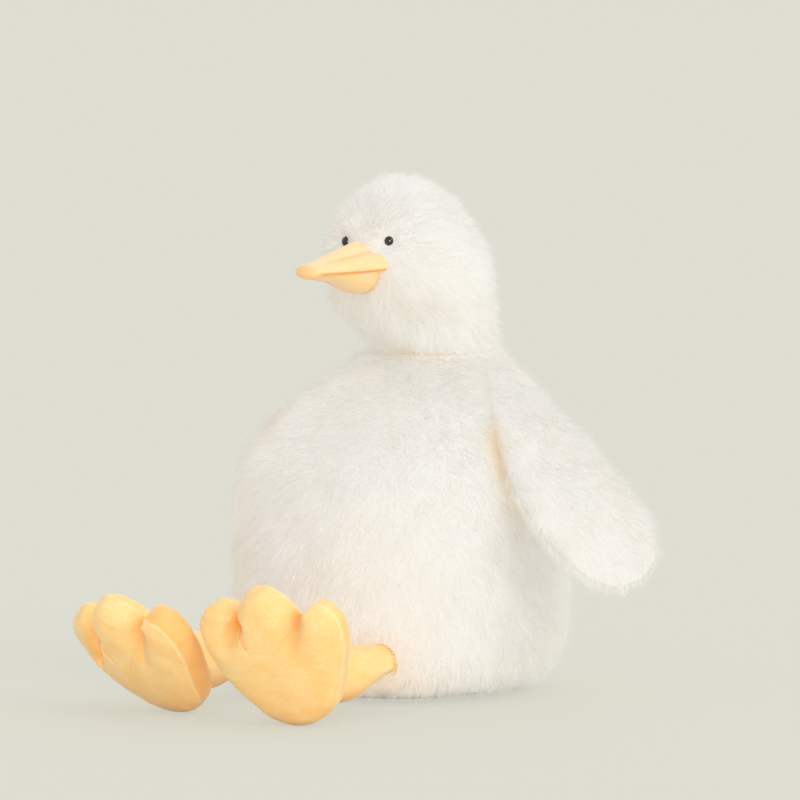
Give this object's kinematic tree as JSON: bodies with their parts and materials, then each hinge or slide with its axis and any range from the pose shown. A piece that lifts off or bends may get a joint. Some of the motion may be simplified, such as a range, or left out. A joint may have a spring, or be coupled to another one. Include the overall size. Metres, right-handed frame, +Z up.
{
  "type": "plush duck",
  "caption": "Seated plush duck in white long-pile fur with a stuffed orange beak, orange velboa legs and three-toed feet, and black plastic eyes.",
  "frame": {"origin": "centre of the base panel's lower face, on the floor", "axes": "the duck faces -Y, its left side is +X, +Z is up"},
  "size_m": [0.3446, 0.3519, 0.342],
  "materials": {
    "fur": "long-pile faux fur",
    "filling": "polyester fibre",
    "pellets": "plastic pellets in a cotton bag",
    "beak": "short-pile velboa",
    "feet": "short-pile velboa",
    "eye": "polished",
    "washer": "moulded"
  },
  "bodies": {
    "torso": {"body_skin": "fur", "base_panel": "fur", "pellet_bag": "pellets", "body_filling": "filling"},
    "neck": {"neck_filling": "filling"},
    "head": {"head_skin": "fur", "head_filling": "filling", "left_eye": "eye", "right_eye": "eye", "left_eye_washer": "washer", "right_eye_washer": "washer", "upper_beak_cover": "beak", "upper_beak_filling": "filling", "lower_beak_cover": "beak", "lower_beak_filling": "filling"},
    "left_wing": {"left_wing_skin": "fur", "left_wing_filling": "filling"},
    "right_wing": {"right_wing_skin": "fur", "right_wing_filling": "filling"},
    "left_leg": {"left_leg_cover": "feet", "left_leg_filling": "filling"},
    "right_leg": {"right_leg_cover": "feet", "right_leg_filling": "filling"},
    "left_foot": {"left_foot_sole": "feet", "left_foot_top": "feet", "left_foot_filling": "filling"},
    "right_foot": {"right_foot_sole": "feet", "right_foot_top": "feet", "right_foot_filling": "filling"}
  },
  "joints": [
    {"name": "neck_turn", "type": "hinge", "parent": "torso", "child": "neck", "pos_m": [0, 0.037, 0.23], "axis": [0, 0, 1], "range_deg": [-35, 35], "stiffness_Nm_per_rad": 1.5},
    {"name": "neck_nod", "type": "hinge", "parent": "neck", "child": "head", "pos_m": [0, 0.037, 0.23], "axis": [1, 0, 0], "range_deg": [-14, 14], "stiffness_Nm_per_rad": 3},
    {"name": "left_wing_flap", "type": "hinge", "parent": "torso", "child": "left_wing", "pos_m": [0.059, 0.024, 0.212], "axis": [-0.0499, -0.9889, 0.1398], "range_deg": [0, 65]},
    {"name": "right_wing_flap", "type": "hinge", "parent": "torso", "child": "right_wing", "pos_m": [-0.056, 0.03, 0.206], "axis": [-0.0499, 0.9889, -0.1398], "range_deg": [0, 65]},
    {"name": "left_leg_lift", "type": "hinge", "parent": "torso", "child": "left_leg", "pos_m": [0.0603, -0.0997, 0.026], "axis": [-1, 0, 0], "range_deg": [0, 30]},
    {"name": "right_leg_lift", "type": "hinge", "parent": "torso", "child": "right_leg", "pos_m": [-0.0603, -0.0997, 0.026], "axis": [-1, 0, 0], "range_deg": [0, 30]},
    {"name": "left_ankle_tip", "type": "hinge", "parent": "left_leg", "child": "left_foot", "pos_m": [0.0515, -0.164, 0.037], "axis": [0.9903, 0.1392, 0], "range_deg": [-14, 14], "stiffness_Nm_per_rad": 1},
    {"name": "right_ankle_tip", "type": "hinge", "parent": "right_leg", "child": "right_foot", "pos_m": [-0.0515, -0.164, 0.037], "axis": [0.9903, -0.1392, 0], "range_deg": [-14, 14], "stiffness_Nm_per_rad": 1}
  ]
}
